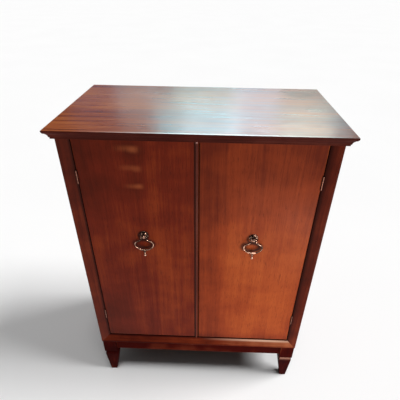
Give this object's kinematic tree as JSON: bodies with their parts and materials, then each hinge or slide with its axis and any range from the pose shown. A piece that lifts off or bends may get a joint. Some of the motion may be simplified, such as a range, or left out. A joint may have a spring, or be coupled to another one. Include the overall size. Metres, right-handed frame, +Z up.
{
  "type": "storage cabinet",
  "caption": "Mahogany storage cabinet on tapered legs, with a moulded top, two hinged doors, brass bail pulls and an inner shelf.",
  "frame": {"origin": "on the floor under the middle of the top", "axes": "+Z up, -Y towards the front with the doors, +X to the right seen from the front"},
  "size_m": [0.762, 0.448, 1.004],
  "materials": {
    "top_mahogany": "red-brown mahogany veneer under glossy lacquer",
    "door_mahogany": "red-brown mahogany veneer under satin lacquer",
    "case_mahogany": "dark red-brown mahogany under satin lacquer",
    "inner_wood": "clear sealed secondary wood",
    "pull_brass": "antique brass with dark patina",
    "hinge_brass": "satin brass",
    "screw_steel": "plated steel",
    "strike_steel": "zinc plated steel",
    "catch_plastic": "dark brown moulded plastic"
  },
  "bodies": {
    "case": {"apron_back": "case_mahogany", "apron_front": "case_mahogany", "apron_left": "case_mahogany", "apron_right": "case_mahogany", "back_panel": "inner_wood", "bottom_panel": "inner_wood", "bottom_rail": "case_mahogany", "catch_screws": "screw_steel", "corner_brace_back_left": "inner_wood", "corner_brace_back_right": "inner_wood", "corner_brace_front_left": "inner_wood", "corner_brace_front_right": "inner_wood", "hinge_screws_case": "screw_steel", "left_catch_body": "catch_plastic", "leg_back_left": "case_mahogany", "leg_back_right": "case_mahogany", "leg_front_left": "case_mahogany", "leg_front_right": "case_mahogany", "lower_left_hinge_frame_leaf": "hinge_brass", "lower_left_hinge_pin": "hinge_brass", "lower_right_hinge_frame_leaf": "hinge_brass", "lower_right_hinge_pin": "hinge_brass", "right_catch_body": "catch_plastic", "shelf": "inner_wood", "side_panel_left": "case_mahogany", "side_panel_right": "case_mahogany", "stile_left": "case_mahogany", "stile_right": "case_mahogany", "top_edge_front": "top_mahogany", "top_edge_left": "top_mahogany", "top_edge_right": "top_mahogany", "top_fixing_screws": "screw_steel", "top_panel": "top_mahogany", "top_rail_back": "inner_wood", "top_rail_front": "inner_wood", "upper_left_hinge_frame_leaf": "hinge_brass", "upper_left_hinge_pin": "hinge_brass", "upper_right_hinge_frame_leaf": "hinge_brass", "upper_right_hinge_pin": "hinge_brass"},
    "left_door": {"door_left": "door_mahogany", "hinge_screws_left_door": "screw_steel", "left_pull_nut": "screw_steel", "left_pull_post": "pull_brass", "left_pull_rosette": "pull_brass", "left_strike_plate": "strike_steel", "left_strike_screw": "screw_steel", "lower_left_hinge_door_leaf": "hinge_brass", "meeting_bead": "door_mahogany", "upper_left_hinge_door_leaf": "hinge_brass"},
    "right_door": {"door_right": "door_mahogany", "hinge_screws_right_door": "screw_steel", "lower_right_hinge_door_leaf": "hinge_brass", "right_pull_nut": "screw_steel", "right_pull_post": "pull_brass", "right_pull_rosette": "pull_brass", "right_strike_plate": "strike_steel", "right_strike_screw": "screw_steel", "upper_right_hinge_door_leaf": "hinge_brass"},
    "left_bail": {"left_pull_bail": "pull_brass"},
    "right_bail": {"right_pull_bail": "pull_brass"}
  },
  "joints": [
    {"name": "left_door_hinge", "type": "hinge", "parent": "case", "child": "left_door", "pos_m": [-0.3261, -0.1941, 0.597], "axis": [0, 0, -1], "range_deg": [0, 160]},
    {"name": "right_door_hinge", "type": "hinge", "parent": "case", "child": "right_door", "pos_m": [0.3261, -0.1941, 0.597], "axis": [0, 0, 1], "range_deg": [0, 160]},
    {"name": "left_bail_pivot", "type": "hinge", "parent": "left_door", "child": "left_bail", "pos_m": [-0.162, -0.2046, 0.68], "axis": [-1, 0, 0], "range_deg": [-5, 175]},
    {"name": "right_bail_pivot", "type": "hinge", "parent": "right_door", "child": "right_bail", "pos_m": [0.162, -0.2046, 0.68], "axis": [-1, 0, 0], "range_deg": [-5, 175]}
  ]
}
